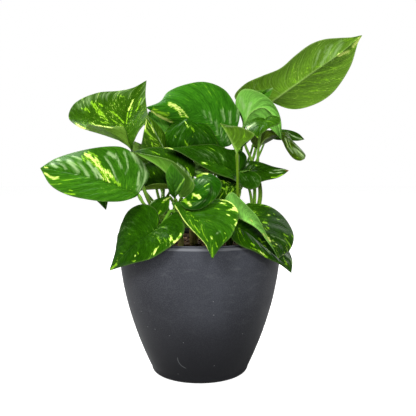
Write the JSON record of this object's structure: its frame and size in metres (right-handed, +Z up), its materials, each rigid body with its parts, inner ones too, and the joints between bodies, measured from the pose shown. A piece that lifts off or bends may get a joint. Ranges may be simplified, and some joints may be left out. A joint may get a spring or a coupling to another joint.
{
  "type": "potted golden pothos",
  "caption": "Golden pothos house plant with broad heart-shaped variegated leaves on long stalks, growing in a round tapered charcoal plastic pot",
  "frame": {"origin": "centre of the flat base of the pot, on the surface that the pot stands on", "axes": "+Z up along the pot's axis, -Y towards the side that the largest leaves face, +X towards the tallest leaf"},
  "size_m": [0.3056, 0.2225, 0.3333],
  "materials": {
    "leaf": "glossy green leaf with cream and yellow variegation",
    "stem": "smooth pale green stalk",
    "pot_plastic": "satin charcoal plastic, lightly scuffed",
    "soil": "dark crumbly potting soil"
  },
  "bodies": {
    "root": {"pot": "pot_plastic", "soil": "soil", "stem_left": "stem", "stem_front_left": "stem", "stem_front": "stem", "stem_front_right": "stem", "stem_right": "stem", "stem_centre": "stem", "stem_back_left": "stem", "stem_back_right": "stem", "leaf_left_high": "leaf", "leaf_left_large": "leaf", "leaf_left_behind": "leaf", "leaf_front_left": "leaf", "leaf_front_small": "leaf", "leaf_centre_young": "leaf", "leaf_centre_trough": "leaf", "leaf_left_spotted": "leaf", "leaf_left_olive": "leaf", "leaf_left_shaded": "leaf", "leaf_centre_dark": "leaf", "leaf_centre_behind": "leaf", "leaf_centre_sheen": "leaf", "leaf_glossy_curl": "leaf", "leaf_centre_round": "leaf", "leaf_crown": "leaf", "leaf_filler_left": "leaf", "leaf_funnel_right": "leaf", "leaf_right_glossy": "leaf", "leaf_right_bright": "leaf", "leaf_tip_behind": "leaf", "leaf_top_right": "leaf", "leaf_right_drooping": "leaf", "leaf_right_far": "leaf", "leaf_right_pointed": "leaf", "leaf_front_centre": "leaf", "leaf_right_trough": "leaf", "leaf_front_right": "leaf", "leaf_side_right": "leaf", "leaf_side_left": "leaf", "leaf_back_high": "leaf", "leaf_back_left": "leaf", "leaf_back_right": "leaf", "leaf_back_low_left": "leaf", "leaf_back_low_mid": "leaf", "leaf_back_low_right": "leaf", "leaf_back_mid": "leaf", "leaf_back_upper_left": "leaf", "leaf_back_crown": "leaf", "leaf_back_inner_right": "leaf"}
  },
  "joints": []
}
